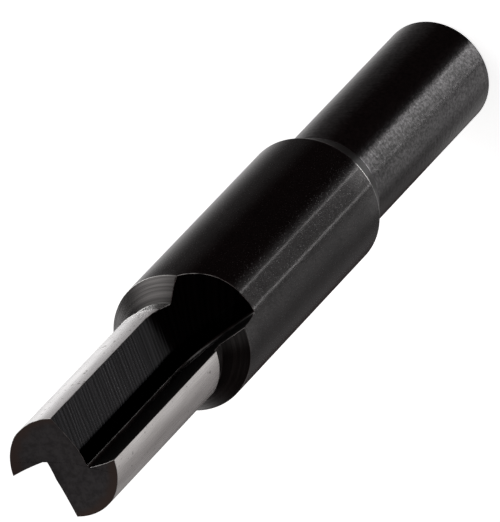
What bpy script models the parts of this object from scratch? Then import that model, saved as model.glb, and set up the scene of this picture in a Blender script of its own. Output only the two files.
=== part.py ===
"""Two-flute grooving router bit, turned, milled and ground from one bar of tool steel.

The bit stands on the flat end of its shank with its axis on +Z, cutting end up. Lengths are in
metres and angles in degrees. The bar is turned first: shank, body, tapered shoulder, neck and
cutting head. The head is then relieved behind its two lands, the end is ground hollow, and a disc
cutter mills the two flutes. The flat side of the disc leaves the rake face, its rim leaves the
back wall, and where it stops it runs out of the body along its own radius.
"""

import math

import bmesh
import bpy
from mathutils import Vector

# Shank and body
SHANK_DIAMETER = 0.0127
SHANK_LENGTH = 0.03155
SHANK_END_CHAMFER = 0.00025
BODY_DIAMETER = 0.015875
REAR_TAPER_LENGTH = 0.0036
BODY_LENGTH = 0.0354
EDGE_RADIUS = 0.00015
TURNED_FILLET_RADIUS = 0.0004

# Cutting head, from the front edge of the body to the rim of the end face
SHOULDER_LENGTH = 0.0022
NECK_DIAMETER = 0.0112
NECK_LENGTH = 0.00195
NECK_STEP_ANGLE = 45.0
CUTTING_DIAMETER = 0.0123
CUTTING_LENGTH = 0.0269

# Lands and relief, with angles measured back from the cutting edge
LAND_ANGLE = 45.0
HEEL_ANGLE = 97.0
RELIEF_DEPTH = 0.00048

# Flutes
FLUTE_COUNT = 2
WEB_THICKNESS = 0.0045
RAKE_FACE_OFFSET = 0.0017
RAKE_HOOK_RADIUS = 0.022
BACK_WALL_DRAFT = 1.8
UNDERCUT_START = 0.00085
UNDERCUT_ANGLE = 7.0
ROOT_RADIUS = 0.0003
DISC_RADIUS = 0.011
DISC_LIFT_HEIGHT = 0.00675

# Hollow end
END_DISH_ANGLE = 13.0

# Fineness of the round surfaces
TURNED_STEPS = 120
FILLET_STEPS = 6
ROOT_STEPS = 7
HOOK_STEPS = 8
RELIEF_STEPS = 12
RUN_OUT_STEPS = 28
SHARP_ANGLE = 24.0

# How far a cutter stands clear of the metal that it removes
CUT_CLEARANCE = 0.001
RELIEF_LEAD_ANGLE = 4.0

shank_radius = SHANK_DIAMETER / 2
body_radius = BODY_DIAMETER / 2
neck_radius = NECK_DIAMETER / 2
cutting_radius = CUTTING_DIAMETER / 2
body_back = SHANK_LENGTH + REAR_TAPER_LENGTH
body_front = body_back + BODY_LENGTH
land_end = body_front + SHOULDER_LENGTH + NECK_LENGTH
tip = land_end + CUTTING_LENGTH
flute_stop = body_front + DISC_LIFT_HEIGHT
step_length = (cutting_radius - neck_radius) / math.tan(math.radians(NECK_STEP_ANGLE))

# The cutting edge lies where the rake face is deepest, and angles behind it run clockwise from there
edge_x = math.sqrt(cutting_radius**2 - RAKE_FACE_OFFSET**2)
edge_angle = math.atan2(-RAKE_FACE_OFFSET, edge_x)


def remove_everything():
    for obj in list(bpy.data.objects):
        bpy.data.objects.remove(obj, do_unlink=True)


def steel(name, color, roughness, metallic):
    material = bpy.data.materials.new(name)
    material.use_nodes = True
    shader = material.node_tree.nodes["Principled BSDF"]
    shader.inputs["Base Color"].default_value = (*color, 1.0)
    shader.inputs["Roughness"].default_value = roughness
    shader.inputs["Metallic"].default_value = metallic
    material.diffuse_color = (*color, 1.0)
    return material


def rounded_corner(before, corner, after, radius, steps=FILLET_STEPS):
    """Points of the arc of this radius that rounds a corner between two straight lines."""
    corner = Vector(corner)
    towards_before = (Vector(before) - corner).normalized()
    towards_after = (Vector(after) - corner).normalized()
    half_angle = towards_before.angle(towards_after) / 2
    bisector = (towards_before + towards_after).normalized()
    center = corner + bisector * radius / math.sin(half_angle)
    start = corner + towards_before * radius / math.tan(half_angle) - center
    end = corner + towards_after * radius / math.tan(half_angle) - center
    first = math.atan2(start.y, start.x)
    sweep = (math.atan2(end.y, end.x) - first + math.pi) % (2 * math.pi) - math.pi
    turns = [first + sweep * step / steps for step in range(steps + 1)]
    return [(center.x + radius * math.cos(a), center.y + radius * math.sin(a)) for a in turns]


def turned_outline():
    """Half section of the turned bar, as (radius, height) points from the shank end to the tip."""
    shank_end = (shank_radius, SHANK_END_CHAMFER)
    taper_foot = (shank_radius, SHANK_LENGTH)
    back_edge = (body_radius, body_back)
    front_edge = (body_radius, body_front)
    neck_foot = (neck_radius, body_front + SHOULDER_LENGTH)
    neck_top = (neck_radius, land_end - step_length)
    outline = [(0.0, 0.0), (shank_radius - SHANK_END_CHAMFER, 0.0), shank_end]
    outline += rounded_corner(shank_end, taper_foot, back_edge, TURNED_FILLET_RADIUS)
    outline += rounded_corner(taper_foot, back_edge, front_edge, EDGE_RADIUS)
    outline += rounded_corner(back_edge, front_edge, neck_foot, EDGE_RADIUS)
    outline += rounded_corner(front_edge, neck_foot, neck_top, TURNED_FILLET_RADIUS)
    outline += [neck_top, (cutting_radius, land_end), (cutting_radius, tip), (0.0, tip)]
    return outline


def turned_solid(name, outline, material):
    """Solid of revolution about Z from an outline that starts and ends on the axis."""
    mesh = bmesh.new()
    points = [mesh.verts.new((radius, 0.0, height)) for radius, height in outline]
    edges = [mesh.edges.new(pair) for pair in zip(points, points[1:])]
    bmesh.ops.spin(
        mesh,
        geom=points + edges,
        cent=(0.0, 0.0, 0.0),
        axis=(0.0, 0.0, 1.0),
        angle=2 * math.pi,
        steps=TURNED_STEPS,
        use_merge=True,
    )
    bmesh.ops.remove_doubles(mesh, verts=mesh.verts, dist=1e-7)
    return finished_object(name, mesh, material)


def finished_object(name, mesh, material):
    bmesh.ops.recalc_face_normals(mesh, faces=mesh.faces)
    data = bpy.data.meshes.new(name)
    mesh.to_mesh(data)
    mesh.free()
    data.materials.append(material)
    obj = bpy.data.objects.new(name, data)
    bpy.context.scene.collection.objects.link(obj)
    return obj


def swept_solid(name, sections, material):
    """Closed solid skinned over matching sections, each a ring of points."""
    mesh = bmesh.new()
    rings = [[mesh.verts.new(point) for point in section] for section in sections]
    for lower, upper in zip(rings, rings[1:]):
        for index in range(len(lower)):
            mesh.faces.new((lower[index - 1], lower[index], upper[index], upper[index - 1]))
    mesh.faces.new(rings[0])
    mesh.faces.new(rings[-1])
    return finished_object(name, mesh, material)


def relief_center():
    """Centre of the relief arc, a copy of the cutting circle moved aside.

    The copy is moved so that it passes through the end of the land and through the heel.
    """
    start_angle = edge_angle - math.radians(LAND_ANGLE)
    heel_angle = edge_angle - math.radians(HEEL_ANGLE)
    heel_radius = cutting_radius - RELIEF_DEPTH
    start = Vector((math.cos(start_angle), math.sin(start_angle))) * cutting_radius
    heel = Vector((math.cos(heel_angle), math.sin(heel_angle))) * heel_radius
    half_chord = (heel - start) / 2
    inward = Vector((half_chord.y, -half_chord.x)).normalized()
    if inward.dot(start) > 0:
        inward = -inward
    return start + half_chord + inward * math.sqrt(cutting_radius**2 - half_chord.length_squared)


def relief_section():
    """Section of the metal that relief grinding takes off behind one land."""
    center = relief_center()
    outer_radius = cutting_radius + CUT_CLEARANCE
    first = edge_angle - math.radians(LAND_ANGLE - RELIEF_LEAD_ANGLE)
    last = edge_angle - math.radians(HEEL_ANGLE + 3 * RELIEF_LEAD_ANGLE)
    angles = [first + (last - first) * step / RELIEF_STEPS for step in range(RELIEF_STEPS + 1)]
    inner = []
    outer = []
    for angle in angles:
        ray = Vector((math.cos(angle), math.sin(angle)))
        along = center.dot(ray)
        reach = along + math.sqrt(along**2 - center.length_squared + cutting_radius**2)
        inner.append(tuple(ray * reach))
        outer.append(tuple(ray * outer_radius))
    return inner + outer[::-1]


def flute_section():
    """Section of the disc cutter: hooked rake side, rounded corner, undercut and back wall."""
    reach = body_radius + CUT_CLEARANCE
    hook_center_y = RAKE_HOOK_RADIUS - RAKE_FACE_OFFSET
    slope = math.tan(math.radians(BACK_WALL_DRAFT))
    undercut_slope = math.tan(math.radians(UNDERCUT_ANGLE))

    def rake_y(x):
        return hook_center_y - math.sqrt(RAKE_HOOK_RADIUS**2 - (x - edge_x) ** 2)

    def back_x(y):
        return WEB_THICKNESS / 2 / math.cos(math.radians(BACK_WALL_DRAFT)) - slope * y

    undercut_top = (back_x(UNDERCUT_START), UNDERCUT_START)

    def undercut_x(y):
        return undercut_top[0] - undercut_slope * (UNDERCUT_START - y)

    root_y = rake_y(undercut_x(-RAKE_FACE_OFFSET))
    root = (undercut_x(root_y), root_y)
    lead = 2 * ROOT_RADIUS
    beside = (root[0] + lead, rake_y(root[0] + lead))
    wall_top = (back_x(reach), reach)
    spacing = (reach - beside[0]) / HOOK_STEPS
    hook = [reach - spacing * step for step in range(HOOK_STEPS + 1)]
    section = [(x, rake_y(x)) for x in hook]
    section += rounded_corner(beside, root, undercut_top, ROOT_RADIUS, ROOT_STEPS)
    section += [undercut_top, wall_top, (reach, reach)]
    return section


def relief_cutter(name, material):
    section = relief_section()
    heights = (land_end - step_length - CUT_CLEARANCE / 2, tip + CUT_CLEARANCE)
    sections = [[(x, y, height) for x, y in section] for height in heights]
    return swept_solid(name, sections, material)


def flute_cutter(name, material):
    """Path of the disc: straight down the head, then round its own axis and out of the body."""
    section = flute_section()
    disc_center_x = WEB_THICKNESS / 2 + DISC_RADIUS
    sections = [[(x, y, tip + CUT_CLEARANCE) for x, y in section]]
    for step in range(RUN_OUT_STEPS + 1):
        turn = math.pi / 2 * step / RUN_OUT_STEPS
        sections.append(
            [
                (
                    disc_center_x - (disc_center_x - x) * math.cos(turn),
                    y,
                    flute_stop - (disc_center_x - x) * math.sin(turn),
                )
                for x, y in section
            ]
        )
    return swept_solid(name, sections, material)


def end_dish_cutter(material):
    """Cone that hollows the end face and leaves its rim at full height."""
    rise = math.tan(math.radians(END_DISH_ANGLE))
    outer_radius = cutting_radius + CUT_CLEARANCE
    top = tip + CUT_CLEARANCE
    outline = [
        (0.0, tip - cutting_radius * rise),
        (outer_radius, tip + CUT_CLEARANCE * rise),
        (outer_radius, top),
        (0.0, top),
    ]
    return turned_solid("end_dish_cutter", outline, material)


def around_the_axis(make, name, material):
    """One copy of a cutter for each flute, evenly spaced about the axis."""
    copies = []
    for index in range(FLUTE_COUNT):
        copy = make(f"{name}_{index + 1}", material)
        copy.rotation_euler.z = 2 * math.pi * index / FLUTE_COUNT
        copies.append(copy)
    return copies


def cut(target, cutters):
    for cutter in cutters:
        cutter.display_type = "WIRE"
        cutter.hide_render = True
        modifier = target.modifiers.new(cutter.name, "BOOLEAN")
        modifier.operation = "DIFFERENCE"
        modifier.solver = "EXACT"
        modifier.material_mode = "TRANSFER"
        modifier.object = cutter


def apply_cuts(target, cutters):
    """Keeps the cut mesh, removes the cutters and shades the round surfaces smooth."""
    bpy.context.view_layer.update()
    graph = bpy.context.evaluated_depsgraph_get()
    cut_mesh = bpy.data.meshes.new_from_object(target.evaluated_get(graph))
    cut_mesh.name = target.name
    target.modifiers.clear()
    target.data = cut_mesh
    for cutter in cutters:
        bpy.data.objects.remove(cutter, do_unlink=True)
    cut_mesh.shade_smooth()
    cut_mesh.set_sharp_from_angle(angle=math.radians(SHARP_ANGLE))


def build_router_bit():
    black_oxide = steel("black_oxide_steel", (0.045, 0.043, 0.044), 0.38, 0.75)
    ground = steel("ground_steel", (0.62, 0.60, 0.57), 0.28, 1.0)
    bit = turned_solid("router_bit", turned_outline(), black_oxide)
    bit.data.materials.append(ground)
    for face in bit.data.polygons:
        middle = face.center
        on_rim = math.hypot(middle.x, middle.y) > (cutting_radius + neck_radius) / 2
        if on_rim and land_end < middle.z < tip:
            face.material_index = 1
    cutters = around_the_axis(relief_cutter, "relief_cutter", ground)
    cutters += [end_dish_cutter(black_oxide)]
    cutters += around_the_axis(flute_cutter, "flute_cutter", black_oxide)
    cut(bit, cutters)
    apply_cuts(bit, cutters)
    return bit


remove_everything()
build_router_bit()
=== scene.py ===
import math

import bmesh
import bpy
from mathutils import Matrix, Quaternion, Vector


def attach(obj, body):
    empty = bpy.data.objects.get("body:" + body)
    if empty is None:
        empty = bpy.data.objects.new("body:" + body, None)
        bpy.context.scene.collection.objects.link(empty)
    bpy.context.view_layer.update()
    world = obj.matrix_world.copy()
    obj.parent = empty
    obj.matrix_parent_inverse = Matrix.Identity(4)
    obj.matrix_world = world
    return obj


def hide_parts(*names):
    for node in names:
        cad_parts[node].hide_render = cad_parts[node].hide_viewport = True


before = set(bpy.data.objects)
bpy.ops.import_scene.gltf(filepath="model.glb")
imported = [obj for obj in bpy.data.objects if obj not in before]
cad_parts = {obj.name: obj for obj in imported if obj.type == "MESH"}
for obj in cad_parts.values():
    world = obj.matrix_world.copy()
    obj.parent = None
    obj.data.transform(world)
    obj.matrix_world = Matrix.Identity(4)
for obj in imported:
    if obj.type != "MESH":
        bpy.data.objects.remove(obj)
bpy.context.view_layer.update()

# The bit, in metres and degrees, standing on its shank end with its axis on +Z
SHANK_RADIUS = 0.00635
SHANK_LENGTH = 0.03155
SHANK_END_CHAMFER = 0.00025
BODY_RADIUS = 0.0079375
REAR_TAPER_LENGTH = 0.0036
BODY_LENGTH = 0.0354
BACK_EDGE_RADIUS = 0.00025
FRONT_EDGE_RADIUS = 0.00015
TURNED_FILLET_RADIUS = 0.0004
SHOULDER_LENGTH = 0.0022
NECK_RADIUS = 0.0056
NECK_LENGTH = 0.00195
NECK_STEP = 0.00055
CUTTING_RADIUS = 0.00615
CUTTING_LENGTH = 0.0269
LAND_ANGLE = 45.0
HEEL_ANGLE = 97.0
RELIEF_DEPTH = 0.00048
RELIEF_LEAD_ANGLE = 4.0
WEB_THICKNESS = 0.0045
RAKE_FACE_OFFSET = 0.0017
RAKE_HOOK_RADIUS = 0.022
BACK_WALL_DRAFT = 1.8
UNDERCUT_START = 0.00085
UNDERCUT_ANGLE = 7.0
UNDERCUT_BLEND_RADIUS = 0.0023
ROOT_RADIUS = 0.0003
DISC_RADIUS = 0.011
DISC_LIFT_HEIGHT = 0.00675
END_DISH_ANGLE = 13.0
CUT_CLEARANCE = 0.0005

# Fineness of the visible surface
TURNED_STEPS = 300
TURNED_SPACING = 0.004
FILLET_STEPS = 8
ROOT_STEPS = 12
HOOK_STEPS = 20
RELIEF_STEPS = 36
RUN_OUT_STEPS = 90
SHARP_ANGLE = 22.0
TURNED_MERGE_DISTANCE = 1e-7
CUT_MERGE_DISTANCE = 2e-6

# Worn edges, and the marks that the disc cutter leaves
EDGE_WEAR_ANGLE = 30.0
EDGE_WEAR_WIDTH = 0.00004
FEED_MARK_SPACING = 0.00064
FEED_MARK_SLOPE = 0.45

# How far the body's rounded edges reach along it, and how near to a border a face still belongs to it
BACK_EDGE_REACH = 0.00003
FRONT_EDGE_REACH = 0.00008
SHOULDER_EDGE_REACH = 0.00005
REGION_TOLERANCE = 0.0001

# The photograph's camera, round the bit's axis
CAMERA_TARGET = (-0.000194, 0.000696, 0.050837)
CAMERA_DISTANCE = 1.5336
CAMERA_ELEVATION = 55.0902
CAMERA_AZIMUTH = 15.5682
CAMERA_ROLL = -136.5757
CAMERA_LENS = 986.98

body_back = SHANK_LENGTH + REAR_TAPER_LENGTH
body_front = body_back + BODY_LENGTH
shoulder_foot = body_front + SHOULDER_LENGTH
land_end = shoulder_foot + NECK_LENGTH
tip = land_end + CUTTING_LENGTH
flute_stop = body_front + DISC_LIFT_HEIGHT
edge_x = math.sqrt(CUTTING_RADIUS**2 - RAKE_FACE_OFFSET**2)
edge_angle = math.atan2(-RAKE_FACE_OFFSET, edge_x)
disc_center_x = WEB_THICKNESS / 2 + DISC_RADIUS

# Material slots of the flute cutters
WALL, RAKE, ROOT = range(3)


class Nodes:
    """Short hand for building one node tree."""

    def __init__(self, tree):
        self.tree = tree
        self.new = tree.nodes.new

    def feed(self, socket, value):
        if isinstance(value, bpy.types.NodeSocket):
            self.tree.links.new(value, socket)
        elif value is not None:
            socket.default_value = value

    def math(self, operation, a, b=None, c=None):
        node = self.new("ShaderNodeMath")
        node.operation = operation
        for socket, value in zip(node.inputs, (a, b, c)):
            self.feed(socket, value)
        return node.outputs[0]

    def smooth(self, value, low, high, to_low=0.0, to_high=1.0):
        """Carries one range over to another along an S curve, and holds still beyond its ends."""
        node = self.new("ShaderNodeMapRange")
        node.interpolation_type = "SMOOTHSTEP"
        self.feed(node.inputs["Value"], value)
        self.feed(node.inputs["From Min"], low)
        self.feed(node.inputs["From Max"], high)
        self.feed(node.inputs["To Min"], to_low)
        self.feed(node.inputs["To Max"], to_high)
        return node.outputs["Result"]

    def window(self, value, start, full, falling, end):
        """Rises smoothly from 0 at the start to 1, and falls back to 0 at the end."""
        rise = self.smooth(value, start, full)
        fall = self.smooth(value, falling, end, 1.0, 0.0)
        return self.math("MULTIPLY", rise, fall)

    def mix(self, factor, a, b):
        node = self.new("ShaderNodeMix")
        node.data_type = "RGBA"
        self.feed(node.inputs[0], factor)
        self.feed(node.inputs[6], a)
        self.feed(node.inputs[7], b)
        return node.outputs[2]

    def vector(self, operation, a, b):
        node = self.new("ShaderNodeVectorMath")
        node.operation = operation
        self.feed(node.inputs[0], a)
        self.feed(node.inputs[1], b)
        return node.outputs["Value" if operation == "DOT_PRODUCT" else "Vector"]

    def noise(self, place, scale, detail=3.0, roughness=0.55):
        node = self.new("ShaderNodeTexNoise")
        self.feed(node.inputs["Vector"], place)
        self.feed(node.inputs["Scale"], scale)
        self.feed(node.inputs["Detail"], detail)
        self.feed(node.inputs["Roughness"], roughness)
        return node.outputs["Fac"]

    def streaks(self, place, across, along, detail=3.0, roughness=0.55):
        """Noise with one scale across the axis and another along it."""
        return self.noise(self.vector("MULTIPLY", place, (across, across, along)), 1.0, detail, roughness)

    def position(self):
        return self.new("ShaderNodeTexCoord").outputs["Object"]

    def separate(self, vector):
        node = self.new("ShaderNodeSeparateXYZ")
        self.feed(node.inputs[0], vector)
        return node.outputs

    def combine(self, x, y, z):
        node = self.new("ShaderNodeCombineXYZ")
        for socket, value in zip(node.inputs, (x, y, z)):
            self.feed(socket, value)
        return node.outputs[0]

    def bump(self, height, distance, normal=None):
        node = self.new("ShaderNodeBump")
        self.feed(node.inputs["Height"], height)
        self.feed(node.inputs["Distance"], distance)
        self.feed(node.inputs["Normal"], normal)
        return node.outputs[0]


def rounded_corner(before, corner, after, radius, steps=FILLET_STEPS):
    """Points of the arc of this radius that rounds a corner between two straight lines."""
    corner = Vector(corner)
    towards_before = (Vector(before) - corner).normalized()
    towards_after = (Vector(after) - corner).normalized()
    half_angle = towards_before.angle(towards_after) / 2
    bisector = (towards_before + towards_after).normalized()
    center = corner + bisector * radius / math.sin(half_angle)
    start = corner + towards_before * radius / math.tan(half_angle) - center
    end = corner + towards_after * radius / math.tan(half_angle) - center
    first = math.atan2(start.y, start.x)
    sweep = (math.atan2(end.y, end.x) - first + math.pi) % (2 * math.pi) - math.pi
    turns = [first + sweep * step / steps for step in range(steps + 1)]
    return [(center.x + radius * math.cos(a), center.y + radius * math.sin(a)) for a in turns]


def divided(start, end, length):
    """Points between two ends, no further apart than this length, without the ends."""
    gap = math.dist(start, end)
    count = max(1, math.ceil(gap / length))
    steps = [index / count for index in range(1, count)]
    return [tuple(Vector(start).lerp(Vector(end), step)) for step in steps]


def turned_outline():
    """Half section of the turned bar, as (radius, height) points from the shank end to the tip."""
    shank_end = (SHANK_RADIUS, SHANK_END_CHAMFER)
    taper_foot = (SHANK_RADIUS, SHANK_LENGTH)
    back_edge = (BODY_RADIUS, body_back)
    front_edge = (BODY_RADIUS, body_front)
    neck_foot = (NECK_RADIUS, shoulder_foot)
    neck_top = (NECK_RADIUS, land_end - NECK_STEP)
    corners = [
        [(0.0, 0.0)],
        [(SHANK_RADIUS - SHANK_END_CHAMFER, 0.0)],
        [shank_end],
        rounded_corner(shank_end, taper_foot, back_edge, TURNED_FILLET_RADIUS),
        rounded_corner(taper_foot, back_edge, front_edge, BACK_EDGE_RADIUS),
        rounded_corner(back_edge, front_edge, neck_foot, FRONT_EDGE_RADIUS),
        rounded_corner(front_edge, neck_foot, neck_top, TURNED_FILLET_RADIUS),
        [neck_top],
        [(CUTTING_RADIUS, land_end)],
        [(CUTTING_RADIUS, tip)],
        [(0.0, tip)],
    ]
    outline = []
    for corner in corners:
        if outline:
            outline += divided(outline[-1], corner[0], TURNED_SPACING)
        outline += corner
    return outline


def finished_object(name, mesh, materials):
    """Object in the scene from a mesh in the making, with its faces turned outwards."""
    bmesh.ops.recalc_face_normals(mesh, faces=mesh.faces)
    data = bpy.data.meshes.new(name)
    mesh.to_mesh(data)
    mesh.free()
    for material in materials:
        data.materials.append(material)
    obj = bpy.data.objects.new(name, data)
    bpy.context.scene.collection.objects.link(obj)
    return obj


def turned_solid(name, outline, materials):
    """Solid of revolution round the axis from its half section."""
    mesh = bmesh.new()
    points = [mesh.verts.new((radius, 0.0, height)) for radius, height in outline]
    edges = [mesh.edges.new(pair) for pair in zip(points, points[1:])]
    bmesh.ops.spin(
        mesh,
        geom=points + edges,
        cent=(0.0, 0.0, 0.0),
        axis=(0.0, 0.0, 1.0),
        angle=2 * math.pi,
        steps=TURNED_STEPS,
        use_merge=True,
    )
    bmesh.ops.remove_doubles(mesh, verts=mesh.verts, dist=TURNED_MERGE_DISTANCE)
    return finished_object(name, mesh, materials)


def swept_solid(name, sections, materials, slots):
    """Closed solid skinned over matching rings of points, with the material slot of each side."""
    mesh = bmesh.new()
    rings = [[mesh.verts.new(point) for point in section] for section in sections]
    for lower, upper in zip(rings, rings[1:]):
        for index, slot in enumerate(slots):
            face = mesh.faces.new((lower[index - 1], lower[index], upper[index], upper[index - 1]))
            face.material_index = slot
    mesh.faces.new(rings[0])
    mesh.faces.new(rings[-1])
    return finished_object(name, mesh, materials)


def relief_center():
    """Axis of the relieved curve, which runs from the back of the land to the sunken heel."""
    start_angle = edge_angle - math.radians(LAND_ANGLE)
    heel_angle = edge_angle - math.radians(HEEL_ANGLE)
    heel_radius = CUTTING_RADIUS - RELIEF_DEPTH
    start = Vector((math.cos(start_angle), math.sin(start_angle))) * CUTTING_RADIUS
    heel = Vector((math.cos(heel_angle), math.sin(heel_angle))) * heel_radius
    half_chord = (heel - start) / 2
    inward = Vector((half_chord.y, -half_chord.x)).normalized()
    if inward.dot(start) > 0:
        inward = -inward
    return start + half_chord + inward * math.sqrt(CUTTING_RADIUS**2 - half_chord.length_squared)


def relief_section():
    """What the relief cut takes away, between the relieved curve and a circle outside the head."""
    center = relief_center()
    outer_radius = CUTTING_RADIUS + CUT_CLEARANCE
    lead = math.radians(RELIEF_LEAD_ANGLE)
    first = edge_angle - math.radians(LAND_ANGLE) + lead
    last = edge_angle - math.radians(HEEL_ANGLE) - 3 * lead
    inner = []
    outer = []
    for step in range(RELIEF_STEPS + 1):
        angle = first + (last - first) * step / RELIEF_STEPS
        ray = Vector((math.cos(angle), math.sin(angle)))
        along = center.dot(ray)
        reach = along + math.sqrt(along**2 - center.length_squared + CUTTING_RADIUS**2)
        inner.append(tuple(ray * reach))
        outer.append(tuple(ray * outer_radius))
    return inner + outer[::-1]


def flute_section():
    """Section of the disc cutter, with the material slot of the side that ends at each point."""
    reach = BODY_RADIUS + CUT_CLEARANCE
    hook_center_y = RAKE_HOOK_RADIUS - RAKE_FACE_OFFSET
    draft = math.radians(BACK_WALL_DRAFT)

    def rake_y(x):
        return hook_center_y - math.sqrt(RAKE_HOOK_RADIUS**2 - (x - edge_x) ** 2)

    def back_x(y):
        return WEB_THICKNESS / 2 / math.cos(draft) - math.tan(draft) * y

    undercut_top = (back_x(UNDERCUT_START), UNDERCUT_START)
    undercut_slope = math.tan(math.radians(UNDERCUT_ANGLE))

    def undercut_x(y):
        return undercut_top[0] - undercut_slope * (UNDERCUT_START - y)

    root_y = rake_y(undercut_x(-RAKE_FACE_OFFSET))
    root = (undercut_x(root_y), root_y)
    lead = 2 * ROOT_RADIUS
    beside = (root[0] + lead, rake_y(root[0] + lead))
    wall_top = (back_x(reach), reach)
    spacing = (reach - beside[0]) / HOOK_STEPS
    hook = [reach - spacing * step for step in range(HOOK_STEPS + 1)]
    section = [(x, rake_y(x)) for x in hook]
    slots = [WALL] + [RAKE] * HOOK_STEPS
    section += rounded_corner(beside, root, undercut_top, ROOT_RADIUS, ROOT_STEPS)
    slots += [ROOT] * (ROOT_STEPS + 1)
    section += rounded_corner(root, undercut_top, wall_top, UNDERCUT_BLEND_RADIUS)
    section += [wall_top, (reach, reach)]
    slots += [WALL] * (FILLET_STEPS + 3)
    return section, slots


def flute_cutter(name, materials):
    """Path of the disc: straight down the head, then round its own axis and out of the body."""
    section, slots = flute_section()
    heights = [tip + CUT_CLEARANCE, (tip + flute_stop) / 2]
    sections = [[(x, y, height) for x, y in section] for height in heights]
    for step in range(RUN_OUT_STEPS + 1):
        turn = math.pi / 2 * step / RUN_OUT_STEPS
        ring = []
        for x, y in section:
            arm = disc_center_x - x
            ring.append((disc_center_x - arm * math.cos(turn), y, flute_stop - arm * math.sin(turn)))
        sections.append(ring)
    return swept_solid(name, sections, materials, slots)


def relief_cutter(name, materials):
    """Relief cut along the whole head, from just below the end of the land to past the tip."""
    section = relief_section()
    heights = (land_end - NECK_STEP - CUT_CLEARANCE / 2, tip + CUT_CLEARANCE)
    sections = [[(x, y, height) for x, y in section] for height in heights]
    return swept_solid(name, sections, materials, [0] * len(section))


def end_dish_cutter(materials):
    """Flat cone that hollows the end face and leaves its rim at full length."""
    rise = math.tan(math.radians(END_DISH_ANGLE))
    outer_radius = CUTTING_RADIUS + CUT_CLEARANCE
    top = tip + 2 * CUT_CLEARANCE
    outline = [
        (0.0, tip - CUTTING_RADIUS * rise),
        (outer_radius, tip + CUT_CLEARANCE * rise),
        (outer_radius, top),
        (0.0, top),
    ]
    return turned_solid("end_dish_cutter", outline, materials)


def on_both_sides(make, name, materials):
    """Two cutters of one kind, half a turn apart."""
    copies = [make(f"{name}_{number}", materials) for number in (1, 2)]
    copies[1].rotation_euler.z = math.pi
    return copies


def cut(target, cutters):
    """Take the cutters out of the target, which keeps their materials on the cut faces."""
    for cutter in cutters:
        modifier = target.modifiers.new(cutter.name, "BOOLEAN")
        modifier.operation = "DIFFERENCE"
        modifier.solver = "EXACT"
        modifier.material_mode = "TRANSFER"
        modifier.object = cutter
    bpy.context.view_layer.update()
    graph = bpy.context.evaluated_depsgraph_get()
    mesh = bpy.data.meshes.new_from_object(target.evaluated_get(graph))
    target.modifiers.clear()
    target.data = mesh
    for cutter in cutters:
        bpy.data.objects.remove(cutter, do_unlink=True)


def steel_material(name, color, roughness, edge_tint=1.0):
    """Metal with one reflectance, and the tint that its edges keep at a glancing view."""
    material = bpy.data.materials.new(name)
    material.use_nodes = True
    shader = material.node_tree.nodes["Principled BSDF"]
    shader.inputs["Base Color"].default_value = (*color, 1.0)
    shader.inputs["Metallic"].default_value = 1.0
    shader.inputs["Roughness"].default_value = roughness
    shader.inputs["Specular Tint"].default_value = (edge_tint, edge_tint, edge_tint, 1.0)
    return material, Nodes(material.node_tree), shader


def toned(n, shader, tone, color):
    """Base colour times a tone, which is 1 for the colour as given and never passes 2."""
    brightest = (*(2 * part for part in color), 1.0)
    half_tone = n.math("MULTIPLY", tone, 0.5)
    n.feed(shader.inputs["Base Color"], n.mix(half_tone, (0.0, 0.0, 0.0, 1.0), brightest))


def body_oxide():
    """Black oxide on the turned body: grainy, with faint lathe rings."""
    color = (0.067, 0.065, 0.065)
    material, n, shader = steel_material("body_oxide", color, 0.09, 0.64)
    place = n.position()
    grain = n.streaks(place, 8500.0, 5200.0, 2.0, 0.6)
    clouds = n.smooth(n.noise(place, 180.0, 4.0, 0.65), 0.3, 0.7, 0.90, 1.10)
    toned(n, shader, n.math("MULTIPLY", clouds, n.smooth(grain, 0.3, 0.7, 0.5, 1.5)), color)
    pits = n.streaks(place, 8200.0, 5000.0, 2.0, 0.6)
    n.feed(shader.inputs["Roughness"], n.smooth(pits, 0.5, 0.75, 0.08, 0.36))
    surface = n.bump(n.streaks(place, 0.0, 2500.0, 2.0), 0.000003)
    n.feed(shader.inputs["Normal"], n.bump(grain, 0.000003, surface))
    return material


def shank_oxide():
    """Black oxide on the ground shank: smoother, with short ripples round it."""
    color = (0.068, 0.066, 0.067)
    material, n, shader = steel_material("shank_oxide", color, 0.16, 0.66)
    place = n.position()
    mottle = n.streaks(place, 3200.0, 2600.0, 3.0, 0.65)
    clouds = n.smooth(n.noise(place, 260.0, 4.0, 0.65), 0.3, 0.7, 0.90, 1.10)
    toned(n, shader, n.math("MULTIPLY", clouds, n.smooth(mottle, 0.3, 0.7, 0.55, 1.45)), color)
    ripples = n.streaks(place, 700.0, 2400.0, 3.0, 0.6)
    fine = n.streaks(place, 6000.0, 4200.0, 2.0, 0.6)
    n.feed(shader.inputs["Normal"], n.bump(fine, 0.000006, n.bump(ripples, 0.000022)))
    return material


def rear_taper():
    """Black oxide on the fine-turned taper behind the body."""
    color = (0.062, 0.060, 0.060)
    material, n, shader = steel_material("rear_taper", color, 0.28, 0.64)
    rings = n.streaks(n.position(), 0.0, 4000.0, 2.0)
    toned(n, shader, n.smooth(rings, 0.3, 0.7, 0.8, 1.2), color)
    return material


def turned_shoulder():
    """Black oxide over the lathe's rings on the cone in front of the body, with painted shade in the
    corner where it meets the neck.
    """
    color = (0.057, 0.054, 0.053)
    material, n, shader = steel_material("turned_shoulder", color, 0.25)
    place = n.position()
    rings = n.streaks(place, 110.0, 5500.0, 2.0, 0.6)
    # Painted shade: the cone is darkened towards the corner where it meets the neck.
    corner_painted_shade = n.smooth(n.separate(place)["Z"], shoulder_foot - 0.0010, shoulder_foot - 0.0003, 1.0, 0.5)
    toned(n, shader, n.math("MULTIPLY", corner_painted_shade, n.smooth(rings, 0.34, 0.66, 0.7, 1.3)), color)
    n.feed(shader.inputs["Normal"], n.bump(rings, 0.000012))
    return material


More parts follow.
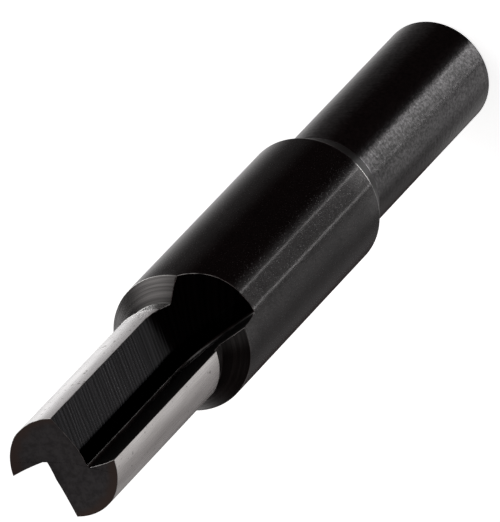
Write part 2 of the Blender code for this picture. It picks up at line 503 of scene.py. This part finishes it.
def neck_steel():
    """Turned neck under the lands: less darkened than the body, with painted shade in the corner where it
    meets the shoulder.
    """
    color = (0.235, 0.23, 0.226)
    material, n, shader = steel_material("neck_steel", color, 0.16)
    place = n.position()
    # Painted shade: the neck is darkened towards its corner with the shoulder, along a wandering line.
    wander = n.math("MULTIPLY_ADD", n.noise(place, 900.0, 2.0), 0.0005, n.separate(place)["Z"])
    corner_painted_shade = n.smooth(wander, shoulder_foot + 0.0002, shoulder_foot + 0.0007, 0.3, 1.0)
    clouds = n.smooth(n.noise(place, 400.0, 2.0), 0.3, 0.7, 0.75, 1.25)
    toned(n, shader, n.math("MULTIPLY", corner_painted_shade, clouds), color)
    n.feed(shader.inputs["Normal"], n.bump(n.streaks(place, 0.0, 5000.0, 3.0), 0.000004))
    return material


def ground_land():
    """Bare ground land with fine scratches, soft patches and pits, paler and more pitted on +Y."""
    material, n, shader = steel_material("ground_land", (0.78, 0.755, 0.74), 0.25, 0.7)
    place = n.position()
    scratches = n.streaks(place, 5000.0, 150.0, 3.0, 0.6)
    patches = n.streaks(place, 700.0, 160.0)
    side = n.smooth(n.separate(place)["Y"], -0.001, 0.001)
    dull = n.mix(side, (0.77, 0.745, 0.73, 1.0), (0.80, 0.79, 0.79, 1.0))
    clean = n.mix(side, (0.90, 0.875, 0.86, 1.0), (0.94, 0.93, 0.93, 1.0))
    tone = n.mix(n.smooth(patches, 0.25, 0.75), dull, clean)
    pits = n.math("MULTIPLY_ADD", side, 0.05, n.noise(place, 1600.0, 2.0))
    specks = n.smooth(pits, 0.67, 0.75)
    n.feed(shader.inputs["Base Color"], n.mix(specks, tone, (0.42, 0.405, 0.395, 1.0)))
    n.feed(shader.inputs["Roughness"], n.smooth(scratches, 0.3, 0.7, 0.21, 0.3))
    n.feed(shader.inputs["Normal"], n.bump(scratches, 0.000004))
    return material


def milled_wall():
    """Black oxide over the disc cutter's feed marks, with painted shade where the wall turns under and
    where it ends in the run-out.
    """
    color = (0.026, 0.026, 0.028)
    material, n, shader = steel_material("milled_wall", color, 0.13)
    x, y, z = n.separate(n.position())
    side = n.math("SIGN", x)
    beside = n.math("MULTIPLY", y, side)
    along = n.math("MULTIPLY_ADD", beside, FEED_MARK_SLOPE, z)
    drift = n.noise(n.combine(side, n.math("MULTIPLY", y, 0.2), along), 500.0, 2.0)
    pace = 2 * math.pi / FEED_MARK_SPACING
    feed = n.math("MULTIPLY_ADD", along, pace, n.math("MULTIPLY", drift, 9.0))
    scratches = n.noise(n.combine(side, n.math("MULTIPLY", y, 0.03), along), 2200.0, 2.0, 0.6)
    marks = n.math("MULTIPLY_ADD", n.math("SINE", feed), 0.15, scratches)
    # Painted shade: a darker tone and a weaker glancing tint where the wall turns under by the root.
    upright = n.smooth(beside, 0.0005, 0.0011)
    # Painted shade: darker towards where the wall runs out into the body.
    run_out_painted_shade = n.smooth(along, flute_stop - 0.0003, flute_stop + 0.0035, 0.45, 1.0)
    shade = n.math("MULTIPLY", n.math("MULTIPLY_ADD", upright, 0.9, 0.1), run_out_painted_shade)
    toned(n, shader, n.math("MULTIPLY", shade, n.smooth(marks, 0.26, 0.74, 0.5, 1.5)), color)
    edge_tint = n.mix(upright, (0.15, 0.15, 0.15, 1.0), (1.0, 1.0, 1.0, 1.0))
    n.feed(shader.inputs["Specular Tint"], edge_tint)
    n.feed(shader.inputs["Normal"], n.bump(marks, 0.000019))
    return material


def root_oxide():
    """Narrow root of the flute, given a brighter colour than the walls beside it as a painted highlight
    line, patchy in places.
    """
    color = (0.08, 0.078, 0.077)
    material, n, shader = steel_material("root_oxide", color, 0.2)
    toned(n, shader, n.smooth(n.noise(n.position(), 450.0, 3.0), 0.35, 0.65, 0.4, 1.6), color)
    return material


def rake_oxide():
    """Dull black oxide on the rake face."""
    material, n, shader = steel_material("rake_oxide", (0.035, 0.033, 0.033), 0.42, 0.35)
    fine = n.noise(n.position(), 3000.0, 3.0, 0.6)
    n.feed(shader.inputs["Normal"], n.bump(fine, 0.00001))
    return material


def hollow_end():
    """Ground end face, darkened, with a faint brown cast towards its rim."""
    material, n, shader = steel_material("hollow_end", (0.05, 0.047, 0.047), 0.4)
    place = n.position()
    flat = n.vector("MULTIPLY", place, (1.0, 1.0, 0.0))
    radius = n.math("SQRT", n.vector("DOT_PRODUCT", flat, flat))
    wander = n.math("MULTIPLY", n.math("SUBTRACT", n.noise(place, 900.0, 3.0), 0.5), 0.0012)
    rim = n.smooth(n.math("ADD", radius, wander), 0.0046, 0.0057)
    mottle = n.smooth(n.noise(place, 1500.0, 4.0, 0.7), 0.35, 0.65)
    grey = n.mix(mottle, (0.040, 0.037, 0.038, 1.0), (0.060, 0.056, 0.0575, 1.0))
    n.feed(shader.inputs["Base Color"], n.mix(rim, grey, (0.060, 0.043, 0.038, 1.0)))
    n.feed(shader.inputs["Normal"], n.bump(n.noise(place, 4200.0, 3.0), 0.00001))
    return material


def painted_highlight_edge(name, color):
    """Rounded edge of the body, made much brighter than its oxide: a painted highlight along the edge."""
    material, n, shader = steel_material(name, color, 0.15)
    toned(n, shader, n.smooth(n.noise(n.position(), 600.0, 3.0), 0.35, 0.65, 0.7, 1.3), color)
    return material


def worn_edge():
    """Broken bright line that the milled and ground edges show."""
    color = (0.33, 0.32, 0.315)
    material, n, shader = steel_material("worn_edge", color, 0.35)
    toned(n, shader, n.smooth(n.noise(n.position(), 900.0, 2.0), 0.35, 0.65, 0.35, 1.65), color)
    return material


def turned_materials():
    """Material of each region of the turned bar."""
    return {
        "shank": shank_oxide(),
        "body": body_oxide(),
        "shoulder": turned_shoulder(),
        "land": ground_land(),
        "neck": neck_steel(),
        "taper": rear_taper(),
        # The body's rounded front and back edges carry a painted highlight.
        "front_edge": painted_highlight_edge("front_edge", (0.2, 0.195, 0.19)),
        "back_edge": painted_highlight_edge("back_edge", (0.42, 0.41, 0.40)),
    }


def region_of(middle):
    """Region of a turned face, by where its middle lies on the outline."""
    radius = math.hypot(middle.x, middle.y)
    height = middle.z
    on_body = body_back + BACK_EDGE_REACH < height < body_front - FRONT_EDGE_REACH
    if radius > BODY_RADIUS - REGION_TOLERANCE and not on_body:
        return "front_edge" if height > (body_back + body_front) / 2 else "back_edge"
    if height > land_end and radius > CUTTING_RADIUS - REGION_TOLERANCE:
        return "land"
    if height > shoulder_foot - REGION_TOLERANCE:
        return "neck"
    if height > body_front - SHOULDER_EDGE_REACH:
        return "shoulder"
    if height > body_back:
        return "body"
    if height > SHANK_LENGTH + REGION_TOLERANCE:
        return "taper"
    return "shank"


def soften_edges(obj, slot):
    """Break the milled and ground edges with a narrow bright bevel."""
    mesh = bmesh.new()
    mesh.from_mesh(obj.data)
    bmesh.ops.remove_doubles(mesh, verts=mesh.verts, dist=CUT_MERGE_DISTANCE)
    edges = []
    for edge in mesh.edges:
        if len(edge.link_faces) != 2 or edge.calc_face_angle() < math.radians(EDGE_WEAR_ANGLE):
            continue
        if min(vert.co.z for vert in edge.verts) > SHANK_LENGTH:
            edges.append(edge)
    bmesh.ops.bevel(
        mesh,
        geom=edges,
        offset=EDGE_WEAR_WIDTH,
        offset_type="OFFSET",
        segments=1,
        affect="EDGES",
        clamp_overlap=False,
        material=slot,
    )
    mesh.to_mesh(obj.data)
    mesh.free()


def build_bit():
    """The whole bit as one solid: turned, relieved, hollowed, milled, with its edges broken."""
    turned = turned_materials()
    regions = list(turned)
    bit = turned_solid("bit", turned_outline(), turned.values())
    for face in bit.data.polygons:
        face.material_index = regions.index(region_of(face.center))
    milled = [milled_wall(), rake_oxide(), root_oxide()]
    cutters = [
        *on_both_sides(relief_cutter, "relief_cutter", [turned["land"]]),
        end_dish_cutter([hollow_end()]),
        *on_both_sides(flute_cutter, "flute_cutter", milled),
    ]
    cut(bit, cutters)
    bit.data.materials.append(worn_edge())
    soften_edges(bit, len(bit.data.materials) - 1)
    bit.data.shade_smooth()
    for face in bit.data.polygons:
        if bit.data.materials[face.material_index].name == "hollow_end":
            face.use_smooth = False
    bit.data.set_sharp_from_angle(angle=math.radians(SHARP_ANGLE))
    return bit


def direction(azimuth, elevation):
    """Unit vector at these angles, with azimuth counted from +X towards +Y."""
    a, e = math.radians(azimuth), math.radians(elevation)
    return Vector((math.cos(a) * math.cos(e), math.sin(a) * math.cos(e), math.sin(e)))


def make_camera():
    """The photograph's camera."""
    data = bpy.data.cameras.new("camera")
    data.lens = CAMERA_LENS
    data.clip_end = 10.0
    camera = bpy.data.objects.new("camera", data)
    bpy.context.scene.collection.objects.link(camera)
    back = direction(CAMERA_AZIMUTH, CAMERA_ELEVATION)
    camera.location = Vector(CAMERA_TARGET) + back * CAMERA_DISTANCE
    upright = (-back).to_track_quat("-Z", "Y")
    camera.rotation_mode = "QUATERNION"
    camera.rotation_quaternion = upright @ Quaternion((0.0, 0.0, 1.0), math.radians(CAMERA_ROLL))
    bpy.context.scene.camera = camera


# The side that the light cards are placed from, about the camera's, and directions towards and across it
LIGHT_PLAN_AZIMUTH = 14.4
TOWARDS = direction(LIGHT_PLAN_AZIMUTH, 0.0)
ACROSS = Vector((TOWARDS.y, -TOWARDS.x, 0.0))

# Far light cards, which the bit mirrors, each by the angles where it fades in and out: azimuth counted
# clockwise from the camera's side, or from the far side where FAR, then elevation, then strength.
# UNDER and LOW_UNDER are the elevations of cards that reach down to straight below the bit
NEAR, FAR = 0, 1
UNDER = (-91.0, -90.0, -28.0, -8.0)
LOW_UNDER = (-91.0, -90.0, -54.0, -38.0)
LIGHT_CARDS = {
    "left_wall": (FAR, (-12.0, 26.0, 27.0, 79.0), (-69.0, -59.0, -28.0, -8.0), 0.57),
    "left_tail": (NEAR, (-200.0, -190.0, -105.0, -60.0), UNDER, 0.13),
    "left_softbox": (NEAR, (-136.0, -99.0, -92.0, -50.0), (-5.0, 5.0, 30.0, 60.0), 2.2),
    "left_low": (NEAR, (-155.0, -140.0, -105.0, -90.0), (-36.0, -28.0, -19.0, -12.0), 5.5),
    "nadir": (NEAR, (0.0, 8.0, 50.0, 64.0), (-76.0, -73.0, -68.0, -64.0), 9.0),
    "taper_band": (NEAR, (120.0, 150.0, 174.0, 179.0), (-86.0, -81.0, -72.0, -66.0), 0.3),
    "right_tent": (NEAR, (-11.0, 12.0, 62.0, 95.0), LOW_UNDER, 0.13),
    "right_sheet": (NEAR, (-5.0, 16.0, 118.0, 166.0), LOW_UNDER, 0.25),
    "right_sheet_side": (NEAR, (48.0, 60.0, 70.0, 105.0), LOW_UNDER, 0.15),
    "right_wall": (NEAR, (60.0, 100.0, 130.0, 175.0), (-50.0, -42.0, -38.0, -25.0), 0.015),
    "front_seam": (NEAR, (10.2, 10.9, 11.3, 12.0), (-62.0, -60.0, -53.0, -46.0), 3.6),
    "side_seam": (NEAR, (43.0, 43.6, 44.0, 44.6), (-62.0, -60.0, -53.0, -46.0), 5.2),
    "back_band": (FAR, (-85.0, -65.0, 12.0, 32.0), (-38.0, -28.0, -18.0, -10.0), 0.6),
    "left_band": (NEAR, (-98.0, -88.0, -4.0, 8.0), (-36.0, -26.0, -10.0, -2.0), 0.5),
    "right_horizon": (NEAR, (34.0, 46.0, 50.0, 72.0), (-10.0, 2.0, 30.0, 60.0), 0.24),
    "far_top": (FAR, (-110.0, -50.0, 50.0, 110.0), (12.0, 30.0, 70.0, 88.0), 0.42),
}
ROOM_GLOW_COLOR = (1.0, 0.66, 0.66, 1.0)
ROOM_GLOW = 0.035

# Two curved cards close to the bit: one below the floor sheet, which only the shank mirrors, and one
# above it for the head, with where each fades out in height
NEAR_CARD_RADIUS = 0.06
NEAR_CARD_STEP_ANGLE = 2.0
SHANK_CARD_HEIGHTS = (-0.16, -0.01)
SHANK_CARD_FADE = (-0.055, -0.032)
HEAD_CARD_HEIGHTS = (-0.0035, 0.055)
HEAD_CARD_FADE = (-0.0035, 0.0005)
FLOOR_RADIUS = 3.0


def around_axis(n, place):
    """Azimuth of a direction or place round the axis, from the camera's side and from the far side."""
    azimuths = []
    for sign in (1.0, -1.0):
        across = n.vector("DOT_PRODUCT", place, tuple(sign * ACROSS))
        towards = n.vector("DOT_PRODUCT", place, tuple(sign * TOWARDS))
        azimuths.append(n.math("DEGREES", n.math("ARCTAN2", across, towards)))
    return azimuths


def studio_world():
    """White to the camera, and to everything else a dark room with soft cards round the bit."""
    world = bpy.data.worlds.new("studio")
    bpy.context.scene.world = world
    world.use_nodes = True
    n = Nodes(world.node_tree)
    world.node_tree.nodes.clear()
    way = n.new("ShaderNodeTexCoord").outputs["Generated"]
    azimuths = around_axis(n, way)
    elevation = n.math("DEGREES", n.math("ARCSINE", n.separate(way)["Z"]))
    light = 0.0
    for side, azimuth_edges, elevation_edges, strength in LIGHT_CARDS.values():
        width = n.window(azimuths[side], *azimuth_edges)
        height = n.window(elevation, *elevation_edges)
        light = n.math("MULTIPLY_ADD", n.math("MULTIPLY", width, height), strength, light)
    backdrop = n.new("ShaderNodeBackground")
    backdrop.inputs["Color"].default_value = (1.0, 1.0, 1.0, 1.0)
    backdrop.inputs["Strength"].default_value = 1.0
    studio = n.new("ShaderNodeBackground")
    studio.inputs["Color"].default_value = (1.0, 1.0, 1.0, 1.0)
    n.feed(studio.inputs["Strength"], light)
    glow = n.new("ShaderNodeBackground")
    glow.inputs["Color"].default_value = ROOM_GLOW_COLOR
    glow.inputs["Strength"].default_value = ROOM_GLOW
    room = n.new("ShaderNodeAddShader")
    n.feed(room.inputs[0], studio.outputs[0])
    n.feed(room.inputs[1], glow.outputs[0])
    mix = n.new("ShaderNodeMixShader")
    n.feed(mix.inputs[0], n.new("ShaderNodeLightPath").outputs["Is Camera Ray"])
    n.feed(mix.inputs[1], room.outputs[0])
    n.feed(mix.inputs[2], backdrop.outputs[0])
    n.feed(n.new("ShaderNodeOutputWorld").inputs[0], mix.outputs[0])


def floor_material():
    """White sheet with the bit's soft shadow; the bit mirrors the cards below through it."""
    material = bpy.data.materials.new("floor_sheet")
    material.use_nodes = True
    material.cycles.emission_sampling = "NONE"
    n = Nodes(material.node_tree)
    material.node_tree.nodes.clear()
    sheet = n.new("ShaderNodeBsdfDiffuse")
    sheet.inputs["Color"].default_value = (0.8, 0.8, 0.8, 1.0)
    white = n.new("ShaderNodeEmission")
    white.inputs["Color"].default_value = (1.0, 1.0, 1.0, 1.0)
    white.inputs["Strength"].default_value = 0.85
    seen = n.new("ShaderNodeAddShader")
    n.feed(seen.inputs[0], sheet.outputs[0])
    n.feed(seen.inputs[1], white.outputs[0])
    mix = n.new("ShaderNodeMixShader")
    n.feed(mix.inputs[0], n.new("ShaderNodeLightPath").outputs["Is Camera Ray"])
    n.feed(mix.inputs[1], n.new("ShaderNodeBsdfTransparent").outputs[0])
    n.feed(mix.inputs[2], seen.outputs[0])
    n.feed(n.new("ShaderNodeOutputMaterial").inputs[0], mix.outputs[0])
    return material


def near_card_material(name, brightness):
    """See-through card that only glows, with its brightness by azimuth and height."""
    material = bpy.data.materials.new(name)
    material.use_nodes = True
    n = Nodes(material.node_tree)
    material.node_tree.nodes.clear()
    place = n.position()
    near, far = around_axis(n, place)
    card = n.new("ShaderNodeEmission")
    card.inputs["Color"].default_value = (1.0, 1.0, 1.0, 1.0)
    n.feed(card.inputs["Strength"], brightness(n, near, far, n.separate(place)["Z"]))
    both = n.new("ShaderNodeAddShader")
    n.feed(both.inputs[0], card.outputs[0])
    n.feed(both.inputs[1], n.new("ShaderNodeBsdfTransparent").outputs[0])
    n.feed(n.new("ShaderNodeOutputMaterial").inputs[0], both.outputs[0])
    return material


def shank_card_brightness(n, near, far, height):
    """A bright strip in front, a dim one at the side, and one lower down that fades out upwards."""
    front = n.window(near, 2.5, 10.0, 20.0, 52.0)
    side = n.window(near, 40.0, 56.0, 75.0, 100.0)
    low = n.smooth(height, -0.069, -0.076)
    low_side = n.math("MULTIPLY", n.window(near, 62.0, 105.0, 135.0, 175.0), low)
    glow = n.math("MULTIPLY_ADD", side, 0.45, n.math("MULTIPLY", front, 1.7))
    glow = n.math("MULTIPLY_ADD", low_side, 0.3, glow)
    return n.math("MULTIPLY", glow, n.smooth(height, *SHANK_CARD_FADE, 1.0, 0.0))


def head_card_brightness(n, near, far, height):
    """Strips on the far side for the left and the right land, and a dim one in front."""
    left_strength = n.smooth(height, 0.0, 0.02, 0.38, 0.31)
    left = n.math("MULTIPLY", n.window(far, 12.0, 50.0, 78.0, 105.0), left_strength)
    middle = n.window(far, 10.0, 42.0, 50.0, 72.0)
    right_strength = n.smooth(height, 0.0, 0.02, 0.10, 0.27)
    right = n.math("MULTIPLY", n.window(far, -70.0, -40.0, -15.0, 5.0), right_strength)
    front = n.window(near, 31.0, 44.0, 60.0, 120.0)
    glow = n.math("MULTIPLY_ADD", middle, 0.4, n.math("ADD", left, right))
    glow = n.math("MULTIPLY_ADD", front, 0.105, glow)
    return n.math("MULTIPLY", glow, n.smooth(height, *HEAD_CARD_FADE))


def make_near_card(name, heights, brightness, start, end):
    """Strip of a cylinder round the axis between two azimuths, mirrored but not seen or shading."""
    mesh = bmesh.new()
    columns = []
    count = round((end - start) / NEAR_CARD_STEP_ANGLE)
    for step in range(count + 1):
        azimuth = LIGHT_PLAN_AZIMUTH - start - (end - start) * step / count
        place = direction(azimuth, 0.0) * NEAR_CARD_RADIUS
        columns.append([mesh.verts.new((place.x, place.y, height)) for height in heights])
    for one, two in zip(columns, columns[1:]):
        mesh.faces.new((one[0], one[1], two[1], two[0]))
    card = finished_object(name, mesh, [near_card_material(name, brightness)])
    card.visible_camera = False
    card.visible_diffuse = False
    card.visible_shadow = False


def make_floor():
    """Round floor sheet, far wider than the view."""
    mesh = bmesh.new()
    bmesh.ops.create_circle(mesh, cap_ends=True, segments=96, radius=FLOOR_RADIUS)
    floor = finished_object("floor", mesh, [floor_material()])


make_camera()
studio_world()
make_floor()
make_near_card("shank_card", SHANK_CARD_HEIGHTS, shank_card_brightness, -10.0, 190.0)
make_near_card("head_card", HEAD_CARD_HEIGHTS, head_card_brightness, 30.0, 280.0)
bit = build_bit()
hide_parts("router_bit")
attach(bit, "root")
bpy.context.scene.view_settings.view_transform = "Standard"
bpy.context.view_layer.update()
